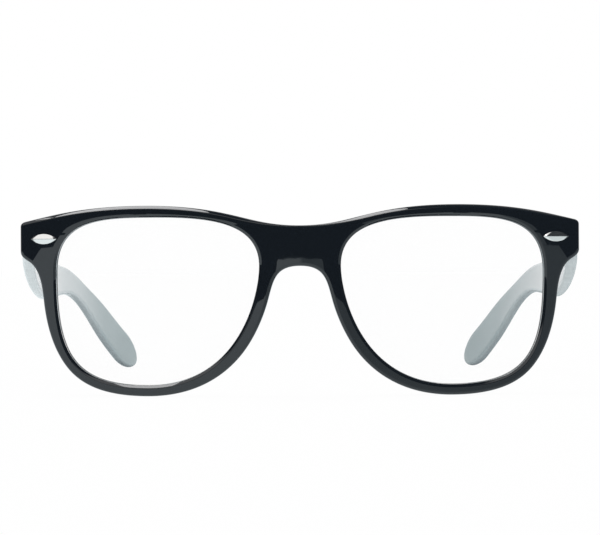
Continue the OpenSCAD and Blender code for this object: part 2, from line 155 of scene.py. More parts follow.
class TempleSizes(bpy.types.PropertyGroup):
    """Sizes of the temples."""

    temple_t: length("Hinge thickness", "Thickness of the temple at the hinge", 3.2 * MM)
    tip_t: length("Tip thickness", "Thickness of the temple at its tip", 2.7 * MM)
    arm_h: length("Arm height", "Height of the temple's arm at its tallest place", 13 * MM)
    waist_h: length("Waist height", "Height of the temple at the ear bend", 7.8 * MM)
    tip_h: length("Tip height", "Height of the temple's tip", 11.2 * MM)
    temple_l: length("Length", "Distance of the temple's end behind the mitre", 132 * MM)
    tall_l: length("Tallest place", "Distance of the arm's tallest place behind the mitre", 65 * MM)
    bend_l: length("Ear bend", "Distance of the ear bend behind the mitre", 106.5 * MM)
    bend_r: length("Bend reach", "Half the length over which the temple bends down", 12 * MM)
    bow: length("Bow", "Outward bow of the temple", 5.9 * MM)
    bow_l: length("Bow place", "Distance of the widest place of the bow behind the mitre", 70 * MM)
    tip_in: length("Tip reach", "Inward reach of the tip from the hinge line", 15.8 * MM)
    leaf_l: length("Leaf length", "Length of the hinge leaf on the temple", 13.5 * MM)
    edge_r: length("Edge", "Radius of the temple's long edges", 1.1 * MM)
    butt_gap: length("Butt gap", "Gap between the mitre and the temple's end", 0.15 * MM)
    arm_fall: angle("Arm fall", "Fall of the arm's top edge", 6.9)
    tip_lean: angle("Tip lean", "Lean of the tip's lower edge towards the head", 15)


class Finishes(bpy.types.PropertyGroup):
    """Colours of the plastics, lenses and metals."""

    front: colour("Front", "Glossy black plastic of the front", (0.0085, 0.012, 0.0165))
    # The inner sides are painted paler near the hinges, as a grazing reflection would make them, and fade to
    # the grey of the tips.
    temple: colour("Temple insides", "Milky plastic of the temples' inner sides", (0.95, 0.98, 0.99))
    tip: colour("Temple tips", "Milky grey of the temples' tips", (0.4, 0.475, 0.49))
    outside: colour("Temple outsides", "Mottled grey of the temples' outer sides", (0.57, 0.62, 0.62))
    # Painted shade that darkens the downward faces of the temples' tips.
    painted_under_shade: colour("Temple undersides", "Darker grey below the temples' tips", (0.2, 0.25, 0.27))
    lens: colour("Lenses", "Tint of the clear lenses", (0.9, 0.96, 0.96))
    hinge: colour("Hinges", "Satin nickel of the hinges", (0.55, 0.54, 0.52))
    inlay: colour("Inlays", "Polished silver of the inlays", (0.86, 0.85, 0.83))


class StageSettings(bpy.types.PropertyGroup):
    """Camera and studio."""

    distance: length("Distance", "Distance of the camera from the front", 470 * MM)
    height: length("Height", "Height of the camera over the table", 32.7 * MM)
    focal: FloatProperty(name="Focal length", description="Focal length of the camera", default=111.3,
                         unit="CAMERA")
    roll: angle("Roll", "Roll of the camera", 0.32)
    table_front: length("Table edge", "Reach of the table in front of the object", 8)
    ambient: FloatProperty(name="Ambient", description="Level of the room's even light", default=0.66)
    ceiling: FloatProperty(name="Ceiling", description="Strength of the large light from above", default=1.3)
    steps: IntProperty(name="Fineness", description="Steps of a surface for each step of the solids",
                       default=3, min=1)


def mix(a, b, t):
    """The value at share t between a and b."""
    return a + (b - a) * t


def part_way(s, a, b):
    """The share of the way from a to b at which s lies."""
    return (s - a) / (b - a)


def ease(t):
    """A soft step from 0 to 1 as t goes from 0 to 1."""
    t = min(1.0, max(0.0, t))
    return t * t * (3 - 2 * t)


def swell(s, a, b, c, d):
    """1 from b to c, and 0 before a and after d."""
    return ease(part_way(s, a, b)) * ease(part_way(s, d, c))


def unit(v):
    """The vector at length 1, or nothing where it has no length."""
    return v / max(np.linalg.norm(v), 1e-12)


def pair(x, z):
    """A point or direction in the front's plane."""
    return np.array([x, z], float)


def left_of(v):
    """The direction a quarter turn to the left."""
    return unit(pair(-v[1], v[0]))


def heading(degrees):
    """A direction in the front's plane, as an angle above +X."""
    return pair(math.cos(math.radians(degrees)), math.sin(math.radians(degrees)))


def sweep(a, u, d, v, out, into, t):
    """A cubic from a to d that leaves along u and arrives along v, with handles as shares of its chord."""
    chord = np.linalg.norm(d - a)
    b, c = a + u * chord * out, d - v * chord * into
    return (1 - t) ** 3 * a + 3 * (1 - t) ** 2 * t * b + 3 * (1 - t) * t * t * c + t ** 3 * d


# How little a slope is pulled towards its corner.
SLOPE_PULL = 0.1


def rounded(before, corner, after, reach, steps, far=None, flat=0):
    """Points of a round corner that leaves its sides at reach and far from the corner.

    As flat goes from 0 to 1, the round turns into a slope.
    """
    u, v = unit(before - corner), unit(after - corner)
    a, b = corner + u * reach, corner + v * (far or reach)
    weight = mix(math.sqrt(max(0.0, (1 - float(u @ v)) / 2)), SLOPE_PULL, flat)
    points = []
    for t in np.linspace(0, 1, steps + 1):
        share = (1 - t) ** 2, 2 * weight * t * (1 - t), t * t
        points.append((share[0] * a + share[1] * corner + share[2] * b) / sum(share))
    return points


class Front:
    """Outlines and cross-sections of the front's left half, worked out from its sizes."""

    # The outline's heading at the opening's nasal, top, temporal and bottom extremes.
    EYE_GO = [pair(0, 1), pair(1, 0), pair(0, -1), pair(-1, 0)]
    # Handles before and after each extreme, as shares of the chord.
    EYE_IN = [0.17, 0.45, 0.49, 0.53]
    EYE_OUT = [0.38, 0.46, 0.55, 0.57]
    # Places along the outline, counted in quarters of the opening from its nasal extreme.
    TOP, BROW, CORNER, EDGE, HEEL, SWEEP, RIM, FLANK, ARCH = 0.45, 1.05, 1.6, 1.66, 1.83, 1.9, 2.12, 3.7, 4.1
    # Where a nose pad starts, is full, starts to fade and ends.
    PAD = (3.4, 3.72, 3.85, 4.06)
    # Where the end piece starts, and between which places the brow's slope is full.
    END_START, SLOPE_FULL = 1.3, (0.75, 1.45)
    # Where the bridge's thickness starts below and ends above, each with the reach that it takes to change.
    BRIDGE_START, BRIDGE_END = (3.8, 0.3), (0.8, 0.35)
    # Share of the section's width over which the back steps up to the end piece.
    END_STEP = 0.18
    # Each stretch of the outline and the number of its steps.
    STRETCHES = [
        (TOP, BROW, 15), (BROW, CORNER, 10), (CORNER, EDGE, 5), (EDGE, HEEL, 4), (HEEL, SWEEP, 5),
        (SWEEP, RIM, 7), (RIM, FLANK, 34), (FLANK, ARCH, 13), (ARCH, 4 + TOP, 5),
    ]
    # Headings of the outline at the end piece's corner and where its sweep to the rim starts.
    CORNER_GO, SWEEP_GO = heading(-13), heading(-148)
    HEEL_H, SWEEP_IN, SWEEP_DOWN = 1.4 * MM, 2.2 * MM, 1.3 * MM
    # Length of the end piece's corner down its edge, in radii.
    CORNER_LENGTH = 1.1
    # Handles at both ends of the outline's curves that lead to these places, as shares of the chord.
    TO_BROW, TO_CORNER, TO_RIM, TO_ARCH = (0.34, 0.57), (0.45, 0.3), (0.3, 0.4), (0.45, 0.52)
    TO_EDGE = TO_SWEEP = (0.4, 0.4)
    # Roundings of the outer back edge, the mitre, the opening's back edge and the bevel's two edges.
    BACK_R, MITRE_R, INNER_R, LIP_R = 0.8 * MM, 0.3 * MM, 0.5 * MM, 0.12 * MM
    # Gaps between a rounding and the next points of the face and the back.
    STEP, INNER_STEP = 0.04 * MM, 0.05 * MM
    # Shares of the way from front to back on the outer wall, and from the outer edge inwards on the back.
    WALL_SHARES = (0.35, 0.65)
    BACK_SHARES = (1, 0.85, 0.7, 0.55, 0.4, 0.28, 0.18, 0.12, 0.06, 0)
    FACE_POINTS = 9
    # Steps round the opening's back edge, the bevel's edges, and the outer edge's front and back.
    INNER_STEPS, LIP_STEPS, FRONT_STEPS, BACK_STEPS = 4, 3, 7, 4
    # Steps along the outline that give its heading, and how near a place counts as the place itself.
    NUDGE, FINE_NUDGE, NEAR = 0.002, 1e-3, 1e-4

    def __init__(self, sizes):
        self.sizes = sizes
        self.y0 = front_low.y
        nasal = sizes.eye_gap / 2
        low = sizes.bottom_rim
        self.eye_at = [
            pair(nasal, low + sizes.nasal_h),
            pair(nasal + sizes.top_x, low + sizes.eye_h),
            pair(nasal + sizes.eye_w, low + sizes.temporal_h),
            pair(nasal + sizes.bottom_x, low),
        ]
        self.middle = pair(nasal + sizes.eye_w / 2, low + sizes.eye_h / 2)
        self.half_w = nasal + sizes.eye_w + sizes.end_reach
        brow_z = low + sizes.eye_h + sizes.brow_rim
        self.brow = pair(nasal + sizes.top_x + sizes.brow_out, brow_z)
        self.bridge = pair(0, brow_z - sizes.bridge_dip)
        self.arch = pair(0, brow_z - sizes.bridge_dip - sizes.bridge_h)
        self.end_top = brow_z - sizes.end_drop
        self.end_low = self.end_top - sizes.end_h
        self.mitre_y = self.face_y(self.half_w) + sizes.end_t
        self.corner_at = pair(self.half_w - sizes.end_r, self.end_top)
        self.edge_at = pair(self.half_w, self.end_top - self.CORNER_LENGTH * sizes.end_r)
        self.heel_at = pair(self.half_w, self.end_low + self.HEEL_H)
        self.sweep_at = pair(self.half_w - self.SWEEP_IN, self.end_low - self.SWEEP_DOWN)

    def face_y(self, x):
        """How far the wrap takes the face back at x."""
        return x * x / (2 * self.sizes.wrap_r)

    def eye(self, s):
        """The opening's outline at quarter s."""
        i = int(s) % 4
        j = (i + 1) % 4
        return sweep(self.eye_at[i], self.EYE_GO[i], self.eye_at[j], self.EYE_GO[j],
                     self.EYE_OUT[i], self.EYE_IN[j], s - int(s))

    def eye_normal(self, s):
        return left_of(self.eye(s + self.NUDGE) - self.eye(s - self.NUDGE))

    def rim_edge(self, s):
        """The rim's outer edge, where the outline runs beside the opening."""
        z = self.sizes
        widths = [z.temporal_rim, z.outer_rim, z.bottom_rim, mix(z.bottom_rim, z.nasal_rim, 0.8), z.nasal_rim]
        k = (s - 2) * 2
        i = min(3, int(k))
        return self.eye(s) + self.eye_normal(s) * mix(widths[i], widths[i + 1], ease(k - i))

    def rim_heading(self, s):
        return unit(self.rim_edge(s + self.NUDGE) - self.rim_edge(s - self.NUDGE))

    def outer(self, s):
        """The outer outline at quarter s; past the arch it climbs the middle line."""
        if s < self.BROW:
            t = part_way(s, self.TOP, self.BROW)
            return sweep(self.bridge, pair(1, 0), self.brow, pair(1, 0), *self.TO_BROW, t)
        if s < self.CORNER:
            t = part_way(s, self.BROW, self.CORNER)
            return sweep(self.brow, pair(1, 0), self.corner_at, self.CORNER_GO, *self.TO_CORNER, t)
        if s < self.EDGE:
            t = part_way(s, self.CORNER, self.EDGE)
            return sweep(self.corner_at, self.CORNER_GO, self.edge_at, pair(0, -1), *self.TO_EDGE, t)
        if s < self.HEEL:
            return mix(self.edge_at, self.heel_at, part_way(s, self.EDGE, self.HEEL))
        if s < self.SWEEP:
            t = part_way(s, self.HEEL, self.SWEEP)
            return sweep(self.heel_at, pair(0, -1), self.sweep_at, self.SWEEP_GO, *self.TO_SWEEP, t)
        if s < self.RIM:
            t = part_way(s, self.SWEEP, self.RIM)
            return sweep(self.sweep_at, self.SWEEP_GO, self.rim_edge(self.RIM), self.rim_heading(self.RIM),
                         *self.TO_RIM, t)
        if s < self.FLANK:
            return self.rim_edge(s)
        if s <= self.ARCH:
            t = part_way(s, self.FLANK, self.ARCH)
            return sweep(self.rim_edge(self.FLANK), self.rim_heading(self.FLANK), self.arch, pair(-1, 0),
                         *self.TO_ARCH, t)
        clear = pair(0, self.BACK_R + self.STEP)
        return mix(self.arch + clear, self.bridge - clear, part_way(s, self.ARCH, 4 + self.TOP))

    def outer_normal(self, s):
        """The outline's way outwards, which has no length on the middle line."""
        if s < self.TOP + self.NEAR:
            return pair(0, 1)
        if s > self.ARCH + self.NEAR:
            return pair(0, 0)
        if s > self.ARCH - self.NEAR:
            return pair(0, -1)
        return left_of(self.outer(s + self.FINE_NUDGE) - self.outer(s - self.FINE_NUDGE))

    def end_share(self, s):
        """How far quarter s belongs to the end piece."""
        return swell(s, self.END_START, self.CORNER, self.SWEEP, self.RIM)

    def bridge_share(self, s):
        """How far quarter s belongs to the thicker bridge."""
        if s > 3:
            start, reach = self.BRIDGE_START
            return ease((s - start) / reach)
        end, reach = self.BRIDGE_END
        return ease((end - s) / reach)

    def back_y(self, p, s, f):
        """The back face at point p of quarter s; f is 0 beside the opening and 1 at the outer edge."""
        z = self.sizes
        plain = self.face_y(p[0]) + mix(z.rim_t, z.bridge_t, self.bridge_share(s))
        pad = z.pad_d * swell(s, *self.PAD) * ease(f)
        return plain + pad + (self.mitre_y - plain) * self.end_share(s) * ease(f / self.END_STEP)

    def at(self, p, y):
        """Point p of the front's plane, at depth y behind the front."""
        return np.array([p[0], self.y0 + y, p[1]])

    def on_face(self, p):
        """Point p of the front's plane, on the face."""
        return self.at(p, self.face_y(p[0]))

    def section(self, s):
        """One closed cross-section at quarter s, from the opening's back edge round by the face."""
        z = self.sizes
        # The opening's edge is at e and the outer edge at o; n and m are their ways outwards.
        e, n, o, m = self.eye(s), self.eye_normal(s), self.outer(s), self.outer_normal(s)
        open_edge = float(abs(m[0]) + abs(m[1])) > 0
        slope = swell(s, self.TOP, *self.SLOPE_FULL, self.CORNER) if open_edge else 0
        plain_r = z.bridge_r if s < self.BROW else z.edge_r
        front_r = mix(plain_r, z.brow_s, slope) if open_edge else 0
        back_r = mix(self.BACK_R, self.MITRE_R, self.end_share(s)) if open_edge else 0
        groove_y = self.face_y(e[0]) + z.rim_t / 2
        a = e + n * z.bevel_w
        inner_back = self.at(e, self.back_y(e, s, 0))
        groove = [
            self.at(e, groove_y + z.groove_w / 2),
            self.at(e + n * z.groove_d, groove_y),
            self.at(e, groove_y - z.groove_w / 2),
        ]
        wall_end = self.at(e, self.face_y(e[0]) + z.bevel_w)
        bevel_end, front_edge = self.on_face(a), self.on_face(o)
        back_edge = self.at(o, self.back_y(o, s, 1))
        face_middle = self.on_face(mix(a, o, 0.5))
        beside_back = self.at(e + n * MM, inner_back[1] - self.y0)
        points = rounded(beside_back, inner_back, groove[0], self.INNER_R, self.INNER_STEPS)
        points += groove
        points += rounded(groove[2], wall_end, bevel_end, self.LIP_R, self.LIP_STEPS)
        points += rounded(wall_end, bevel_end, face_middle, self.LIP_R, self.LIP_STEPS)
        last = o - m * (front_r + self.STEP)
        width = max(np.linalg.norm(last - a), 1e-9)
        for f in np.linspace((self.LIP_R + self.STEP) / width, 1, self.FACE_POINTS):
            points.append(self.on_face(mix(a, last, f)))
        before = self.on_face(o - m * MM) if open_edge else face_middle
        points += rounded(before, front_edge, back_edge, front_r, self.FRONT_STEPS,
                          mix(front_r, z.brow_d, slope), slope)
        for f in self.WALL_SHARES:
            points.append(mix(front_edge, back_edge, f))
        on_back = self.at(mix(e, o, 0.8), back_edge[1] - self.y0)
        points += rounded(front_edge, back_edge, on_back, back_r, self.BACK_STEPS)
        c, d = e + n * (self.INNER_R + self.INNER_STEP), o - m * (back_r + self.STEP)
        for f in self.BACK_SHARES:
            p = mix(c, d, f)
            points.append(self.at(p, self.back_y(p, s, f)))
        return points

    def stations(self, steps):
        """All quarters that get a section, with this many to each step of the solid."""
        return [mix(a, b, i / (n * steps)) for a, b, n in self.STRETCHES for i in range(n * steps)]

    def lens_ring(self, stations, q, y, grow):
        """A ring of the lens at share q of its way out, at depth y, grown past the opening's outline."""
        z = self.sizes
        ring = []
        for s in stations:
            p = mix(self.middle, self.eye(s), q)
            depth = self.face_y(p[0]) + z.rim_t / 2 + y - z.lens_bulge * (1 - q * q)
            ring.append(self.at(p + self.eye_normal(s) * grow, depth))
        return ring


class Temple:
    """The left temple's middle line and rings, worked out from its sizes."""

    # How sharply the temple turns inwards behind the widest place of its bow.
    TURN_IN = 2.4
    # Most of the length that lies before the bend, and the share of the room behind it that the bend takes.
    BEND_MOST, BEND_ROOM = 0.83, 0.8
    # Rounds of correction that bring the tip's lowest point down to the table.
    PASSES = 6
    NUDGE, NEAR = 0.05 * MM, 0.01 * MM
    # Most of a ring's half size that its round corners take, and how far it also thins towards the end.
    ROUND_MOST, END_THIN = 0.95, 0.6
    # Steps round each corner of a ring, and shares of the way down its sides that get a point.
    CORNER_STEPS, SIDE_SHARES = 6, (0.04, 0.35, 0.65, 0.96)
    # Steps up to the bow's widest place, up to the bend, over the bend, up to the round end, and round it.
    STEPS, END_STEPS = (12, 6, 12, 5), 5
    # Where the round end closes flat, in degrees of its quarter circle.
    END_TURN = 84

    def __init__(self, sizes, front):
        self.sizes, self.front = sizes, front
        z, mitre = sizes, front.mitre_y
        self.butt = mitre + z.butt_gap
        self.leaf_y = hinge_joint["pos_m"][1] - front.y0 + z.leaf_l
        self.tall_y = mitre + z.tall_l
        self.bow_y = mitre + z.bow_l
        self.bend_y = mitre + min(z.bend_l, self.BEND_MOST * z.temple_l)
        self.tip_y = mitre + z.temple_l
        self.bend_half = min(z.bend_r, self.BEND_ROOM * (self.tip_y - z.tip_h / 2 - self.bend_y))
        self.line_x = front.half_w - z.temple_t / 2
        self.low = 2 * MM
        for _ in range(self.PASSES):
            self.low -= min(p[2] for ring in self.rings(1) for p in ring) - cad_low.z

    def plan(self, y):
        """The middle line seen from above."""
        z = self.sizes
        if y < self.bow_y:
            return self.line_x + z.bow * (1 - part_way(y, self.bow_y, self.butt) ** 2)
        share = part_way(y, self.bow_y, self.tip_y) ** self.TURN_IN
        return self.line_x + z.bow - (z.bow + z.tip_in) * share

    def arm_height(self, y):
        """The temple's height at depth y."""
        z = self.sizes
        if y < self.tall_y:
            return mix(self.front.sizes.end_h, z.arm_h, ease(part_way(y, self.butt, self.tall_y)))
        if y < self.bend_y:
            return mix(z.arm_h, z.waist_h, ease(part_way(y, self.tall_y, self.bend_y)))
        return mix(z.waist_h, z.tip_h, ease(part_way(y, self.bend_y, self.tip_y - z.tip_h)))

    def arm_line(self, y):
        """Height of the middle line as it would run without the bend."""
        top = self.front.end_top - math.tan(self.sizes.arm_fall) * (y - self.butt)
        return top - self.arm_height(min(y, self.bend_y)) / 2

    def turned(self, y):
        """How far the temple has turned down past its bend."""
        if y < self.bend_y - self.bend_half:
            return 0
        if y > self.bend_y + self.bend_half:
            return y - self.bend_y
        return (y - self.bend_y + self.bend_half) ** 2 / (4 * self.bend_half)

    def line_height(self, y):
        """Height of the middle line, which ends so low that the tip stands on the table."""
        drop = (self.low - self.arm_line(self.tip_y)) / self.turned(self.tip_y)
        return self.arm_line(y) + drop * self.turned(y)

    def ring(self, y, q):
        """A ring at depth y, shrunk by share q towards the temple's end."""
        # The ring's middle is c, and u is the middle line's heading there.
        z, e = self.sizes, self.NUDGE
        c = np.array([self.plan(y), y, self.line_height(y)])
        u = unit(np.array([self.plan(y + e), y + e, self.line_height(y + e)]) - c)
        side, rise = np.array([1.0, 0, 0]), np.array([0, 0, 1.0])
        if y > self.butt + self.NEAR:
            side = unit(np.array([u[1], -u[0], 0]))
            rise = np.cross(side, u)
        lean = z.tip_lean * ease(part_way(y, self.bow_y, self.tip_y - z.tip_h))
        across = side * math.cos(lean) - rise * math.sin(lean)
        up = rise * math.cos(lean) + side * math.sin(lean)
        thin = mix(z.temple_t, z.tip_t, ease(part_way(y, self.leaf_y, self.bend_y)))
        h, t = self.arm_height(y) / 2 * q, thin / 2 * mix(1, q, self.END_THIN)
        r = min(z.edge_r, self.ROUND_MOST * min(h, t))
        c = c + np.array([0, self.front.y0, 0])
        points = []
        for k in range(4):
            out, top = (1 if k in (0, 3) else -1), (1 if k < 2 else -1)
            for a in np.linspace(0, 90, self.CORNER_STEPS + 1):
                g = math.radians(90 * k + a)
                sideways, upwards = out * (t - r) + r * math.cos(g), top * (h - r) + r * math.sin(g)
                points.append(c + across * sideways + up * upwards)
            if k in (1, 3):
                start = points[-1]
                end = c + across * out * t - up * top * (h - r)
                points += [mix(start, end, f) for f in self.SIDE_SHARES]
        return points

    def rings(self, steps):
        """All rings from the hinge to the tip, with this many to each step of the solid."""
        places = []
        round_r = self.sizes.tip_h / 2
        bend, done = self.bend_y - self.bend_half, self.bend_y + self.bend_half
        stops = (self.butt, self.bow_y, bend, done, self.tip_y - round_r)
        for a, b, n in zip(stops, stops[1:], self.STEPS):
            places += [(mix(a, b, i / (n * steps)), 1) for i in range(n * steps)]
        for a in np.linspace(0, math.radians(self.END_TURN), self.END_STEPS * steps + 1):
            places.append((self.tip_y - round_r * (1 - math.sin(a)), math.cos(a)))
        return [self.ring(y, q) for y, q in places]


def add_object(name, data):
    """Puts a new object with this data into the scene."""
    obj = bpy.data.objects.new(name, data)
    bpy.context.scene.collection.objects.link(obj)
    return obj


def skin(name, rings, loop=False):
    """A mesh object through closed rings of points; a loop joins the last ring to the first."""
    count, around = len(rings), len(rings[0])
    points = [p for ring in rings for p in ring]
    faces = []
    for i in range(count if loop else count - 1):
        for j in range(around):
            k, n = (j + 1) % around, (i + 1) % count
            faces.append((i * around + j, i * around + k, n * around + k, n * around + j))
    if not loop:
        for start, ring in ((0, rings[0]), ((count - 1) * around, rings[-1])):
            points.append(np.mean(ring, axis=0))
            hub = len(points) - 1
            faces += [(start + j, start + (j + 1) % around, hub) for j in range(around)]
    mesh = bpy.data.meshes.new(name)
    mesh.from_pydata([tuple(p) for p in points], [], faces)
    return add_object(name, mesh)


def clean(obj, mirrored=False, weld=1e-7):
    """Welds a mesh, adds its mirror image across the middle if asked, and smooths all but its flats."""
    mesh = bmesh.new()
    mesh.from_mesh(obj.data)
    if mirrored:
        middle = [f for f in mesh.faces if all(abs(v.co.x) < weld for v in f.verts)]
        bmesh.ops.delete(mesh, geom=middle, context="FACES")
        copy = bmesh.ops.duplicate(mesh, geom=mesh.verts[:] + mesh.edges[:] + mesh.faces[:])
        for v in copy["geom"]:
            if isinstance(v, bmesh.types.BMVert):
                v.co.x = -v.co.x
    bmesh.ops.remove_doubles(mesh, verts=mesh.verts, dist=weld)
    loose = [v for v in mesh.verts if not v.link_faces]
    bmesh.ops.delete(mesh, geom=loose, context="VERTS")
    bmesh.ops.recalc_face_normals(mesh, faces=mesh.faces)
    mesh.to_mesh(obj.data)
    mesh.free()
    obj.data.shade_smooth()
    # The large faces set the shading, so that flats stay flat beside round edges.
    modifier = obj.modifiers.new("flat faces", "WEIGHTED_NORMAL")
    modifier.weight = 60
    modifier.keep_sharp = True


def flip(obj):
    """Mirrors a piece to the other side."""
    obj.data.transform(Matrix.Scale(-1, 4, (1, 0, 0)))
    obj.data.flip_normals()


def install(obj, body, node, material):
    """Puts a piece on its body in place of a solid, with its finish."""
    obj.data.materials.clear()
    obj.data.materials.append(material)
    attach(obj, body)
    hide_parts(node)


class Wire:
    """A socket of a node tree; arithmetic on wires adds Math nodes."""

    def __init__(self, tree, socket):
        self.tree, self.socket = tree, socket

    def maths(self, operation, *values):
        node = self.tree.nodes.new("ShaderNodeMath")
        node.operation = operation
        for place, value in zip(node.inputs, values):
            if isinstance(value, Wire):
                self.tree.links.new(value.socket, place)
            else:
                place.default_value = value
        return Wire(self.tree, node.outputs[0])

    def __add__(self, other):
        return self.maths("ADD", self, other)

    def __sub__(self, other):
        return self.maths("SUBTRACT", self, other)

    def __rsub__(self, other):
        return self.maths("SUBTRACT", other, self)

    def __mul__(self, other):
        return self.maths("MULTIPLY", self, other)

    def __truediv__(self, other):
        return self.maths("DIVIDE", self, other)

    def __rtruediv__(self, other):
        return self.maths("DIVIDE", other, self)

    def __pow__(self, other):
        return self.maths("POWER", self, other)

    def __neg__(self):
        return self * -1

    def __abs__(self):
        return self.maths("ABSOLUTE", self)

    __radd__, __rmul__ = __add__, __mul__


class Shader:
    """A material's or the world's node tree."""

    def __init__(self, owner):
        owner.use_nodes = True
        self.tree = owner.node_tree
        self.tree.nodes.clear()

    def node(self, kind, settings=None, sockets=None, output=0):
        """Adds a node, sets it up, fills or links its sockets and gives one of its outputs."""
        node = self.tree.nodes.new(kind)
        for name, value in (settings or {}).items():
            if name == "stops":
                ramp = node.color_ramp
                while len(ramp.elements) < len(value):
                    ramp.elements.new(0.5)
                for element, (place, shade) in zip(ramp.elements, value):
                    element.position, element.color = place, (*shade, 1)
            else:
                setattr(node, name, value)
        for name, value in (sockets or {}).items():
            if isinstance(value, Wire):
                self.tree.links.new(value.socket, node.inputs[name])
            else:
                node.inputs[name].default_value = value
        return Wire(self.tree, node.outputs[output]) if node.outputs else None

    def rays(self):
        """Whether a ray comes from the camera, from a reflection or from inside a clear piece."""
        kinds = ("Is Camera Ray", "Is Glossy Ray", "Is Transmission Ray")
        return [self.node("ShaderNodeLightPath", output=kind) for kind in kinds]

    def place(self, kind="Object"):
        """Where a point lies on the object, or which way its surface faces or a ray goes."""
        return self.node("ShaderNodeTexCoord", output=kind)

    def part(self, vector, axis):
        """A vector's part along one axis."""
        return self.node("ShaderNodeSeparateXYZ", None, {"Vector": vector}, axis)

    def sign(self, value):
        """-1 below 0 and 1 above it."""
        return self.node("ShaderNodeMath", {"operation": "SIGN"}, {0: value})

    def most(self, a, b):
        """The larger of two values."""
        return self.node("ShaderNodeMath", {"operation": "MAXIMUM"}, {0: a, 1: b})

    def rise(self, value, low, high):
        """0 up to low, 1 from high on, and even between them."""
        sockets = {"Value": value, "From Min": low, "From Max": high}
        return self.node("ShaderNodeMapRange", {"clamp": True}, sockets)

    def noise(self, vector, scale, detail, distortion=0):
        """Soft noise between 0 and 1."""
        sockets = {"Vector": vector, "Scale": scale, "Detail": detail, "Distortion": distortion}
        return self.node("ShaderNodeTexNoise", None, sockets)

    def stretch(self, vector, scale, rotation=(0, 0, 0)):
        """A vector turned and scaled along its axes."""
        return self.node("ShaderNodeMapping", None, {"Vector": vector, "Rotation": rotation, "Scale": scale})

    def bump(self, height, strength, distance, **upon):
        """A normal that leans as the height rises and falls, upon another one if given."""
        sockets = {"Height": height, "Strength": strength, "Distance": distance, **upon}
        return self.node("ShaderNodeBump", None, sockets)

    def blend(self, share, a, b):
        """A colour between a and b."""
        return self.node("ShaderNodeMix", {"data_type": "RGBA"}, {0: share, 6: a, 7: b}, 2)


def finish(name, colour, **sockets):
    """A new material with its nodes and the values for the sockets of its shader."""
    material = bpy.data.materials.new(name)
    values = {"Base Color": (*colour, 1)}
    for key, value in sockets.items():
        values["IOR" if key == "ior" else key.replace("_", " ").title()] = value
    return material, Shader(material), values


def close(shader, values):
    """Ends a material with one shader for the whole surface."""
    surface = shader.node("ShaderNodeBsdfPrincipled", None, values)
    shader.node("ShaderNodeOutputMaterial", None, {"Surface": surface})


# How much rougher a scratch is than the plastic, and how deep the scratches and the mould's waves are.
SCRATCH_ROUGH, SCRATCH_DEPTH, WAVE_DEPTH = 0.03, 0.004 * MM, 0.02 * MM


def moulded(name, colour, gloss, smear, wave, **sockets):
    """Polished moulded plastic: slow waves left by the mould, faint smears and fine hairline scratches."""
    material, shader, values = finish(name, colour, **sockets)
    place = shader.place()
    waves = shader.noise(place, scale=90, detail=2)
    smears = shader.noise(place, scale=55, detail=4, distortion=0.8)
    hairs = shader.noise(shader.stretch(place, (900, 60, 60), (0.2, 0.9, 0.4)), scale=3, detail=3)
    scratch = shader.rise(hairs, low=0.66, high=0.74)
    values["Roughness"] = gloss + (smears ** 3) * smear + scratch * SCRATCH_ROUGH
    ripple = shader.bump(waves, wave, WAVE_DEPTH)
    values["Normal"] = shader.bump(scratch, strength=0.04, distance=SCRATCH_DEPTH, Normal=ripple)
    return material, shader, values


# How far the face leans forward, by the distance from the middle in millimetres.
SINK = [
    (0, 0.0047), (5.8, 0.0047), (6.4, -0.0044), (12.5, -0.0096), (20, 0),
    (50, 0), (56, 0.0084), (67.2, 0.0084), (68.6, -0.01),
]
# Length of the lean's scale in millimetres, and its factor where a ramp from 0 to 1 holds it.
SINK_REACH, SINK_SCALE = 75, 25
# Between these distances the lean's bands start to slant, about this height.
SINK_ENDS, SINK_TURN, SINK_SLANT = (60 * MM, 66 * MM), 37.7 * MM, 0.55


def front_plastic(colours):
    """Black plastic whose face leans a little in and out along the front, as the mould has shrunk."""
    material, shader, values = moulded("front_plastic", colours.front, gloss=0.008, smear=0.03, wave=0.3,
                                       ior=1.585)
    place = shader.place()
    from_middle = abs(shader.part(place, "X"))
    at_end = shader.rise(from_middle, *SINK_ENDS)
    aside = (from_middle + (shader.part(place, "Z") - SINK_TURN) * SINK_SLANT * at_end) / (SINK_REACH * MM)
    stops = [(at / SINK_REACH, (0.5 + SINK_SCALE * lean,) * 3) for at, lean in SINK]
    lean = (0.5 - shader.node("ShaderNodeValToRGB", {"stops": stops}, {"Fac": aside})) / SINK_SCALE
    tilt = shader.node("ShaderNodeCombineXYZ", None, {"Z": lean})
    leant = shader.node("ShaderNodeVectorMath", {"operation": "ADD"}, {0: values["Normal"], 1: tilt})
    values["Normal"] = shader.node("ShaderNodeVectorMath", {"operation": "NORMALIZE"}, {0: leant})
    close(shader, values)
    return material


# Between these depths the temples turn from pale to grey, drawn forwards by up to this much cloud; the pale
# near the hinges is a painted grazing reflection, and the painted shade below the tips grows with the grey.
PAINTED_GLARE_FADE, CLOUD_REACH = (16 * MM, 68 * MM), 20 * MM


